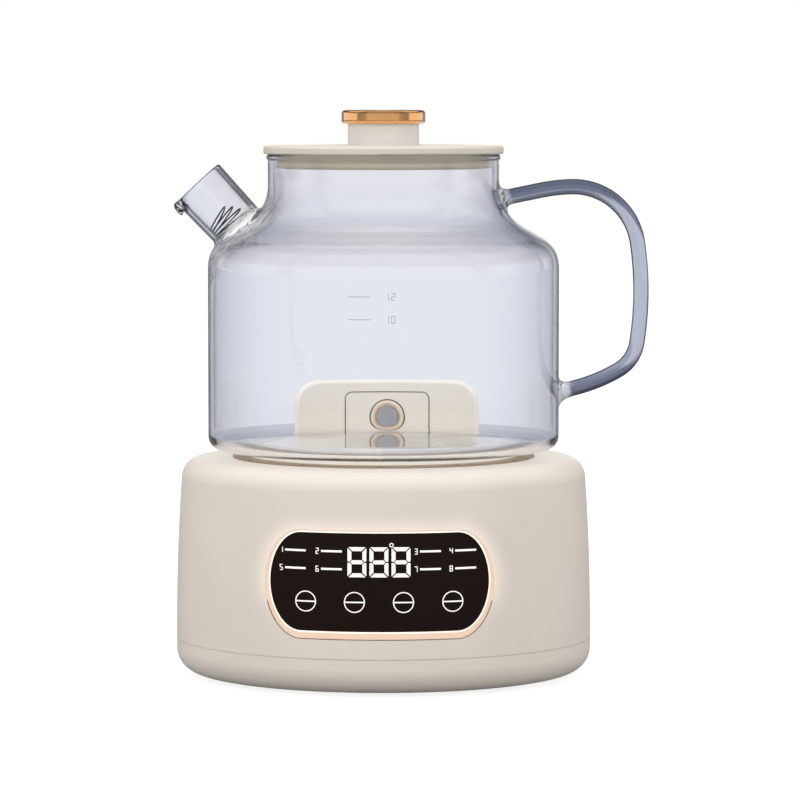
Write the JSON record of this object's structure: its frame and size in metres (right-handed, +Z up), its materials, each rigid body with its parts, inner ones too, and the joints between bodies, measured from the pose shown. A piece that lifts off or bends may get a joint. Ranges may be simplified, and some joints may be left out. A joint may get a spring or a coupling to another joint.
{
  "type": "electric kettle",
  "caption": "Glass health kettle with a lift-off lid, open spout and loop handle on a round heating base with a touch panel and a sprung temperature probe.",
  "frame": {"origin": "on the round base's axis, at the surface that the feet stand on", "axes": "+Z up; +X towards the handle, -X towards the spout; -Y towards the control panel, +Y towards the sensor tower and the power inlet"},
  "size_m": [0.2145, 0.1868, 0.2539],
  "materials": {
    "cream_plastic": "moulded, semi-gloss",
    "cream_metal": "smooth enamel",
    "trim_plastic": "moulded, satin",
    "dark_lens": "tinted, polished",
    "glow_plastic": "translucent, lit from behind",
    "pot_glass": "clear, blown",
    "steel": "brushed or drawn",
    "gold_metal": "polished, pale gold",
    "inner_metal": "cast or pressed",
    "soft_rubber": "matt",
    "pale_silicone": "satin",
    "inner_plastic": "moulded",
    "board": "lacquered board",
    "lead": "insulated wire",
    "pin_metal": "plated"
  },
  "bodies": {
    "base": {"upper_housing": "cream_plastic", "lower_cover": "cream_plastic", "rubber_feet": "soft_rubber", "housing_screws": "steel", "sensor_tower": "cream_plastic", "sensor_panel": "cream_plastic", "probe_ring": "gold_metal", "probe_spring": "steel", "probe_holder": "inner_plastic", "heating_plate": "cream_metal", "plate_ring": "pale_silicone", "heat_shield": "inner_metal", "plate_screws": "steel", "heater_element": "inner_metal", "thermostat": "inner_metal", "thermal_fuse": "inner_metal", "panel_lens": "dark_lens", "light_ring": "glow_plastic", "display_carrier": "inner_plastic", "display_board": "board", "digit_display": "inner_plastic", "touch_springs": "steel", "power_board": "board", "board_screws": "steel", "relay": "inner_plastic", "transformer": "inner_metal", "capacitor": "inner_plastic", "buzzer": "inner_plastic", "terminal_block": "inner_plastic", "power_inlet": "inner_plastic", "inlet_pins": "pin_metal", "mains_leads": "lead", "heater_leads": "lead", "sensor_lead": "lead", "ribbon_cable": "lead"},
    "pot": {"glass_body": "pot_glass", "glass_spout": "pot_glass", "glass_handle": "pot_glass", "coil_filter": "steel"},
    "lid": {"lid_disc": "cream_plastic", "lid_plug": "trim_plastic", "lid_seal": "pale_silicone", "knob": "cream_plastic", "knob_cap": "gold_metal", "knob_screw": "steel"},
    "probe": {"probe_cap": "steel"}
  },
  "joints": [
    {"name": "pot_lift", "type": "slide", "parent": "base", "child": "pot", "axis": [0, 0, 1], "range_m": [0, 0.08]},
    {"name": "lid_lift", "type": "slide", "parent": "pot", "child": "lid", "axis": [0, 0, 1], "range_m": [0, 0.06]},
    {"name": "probe_press", "type": "slide", "parent": "base", "child": "probe", "axis": [0, 1, 0], "range_m": [0, 0.0018], "stiffness_N_per_m": 400, "springref_m": -0.0005, "deforming": ["probe_spring"]}
  ]
}
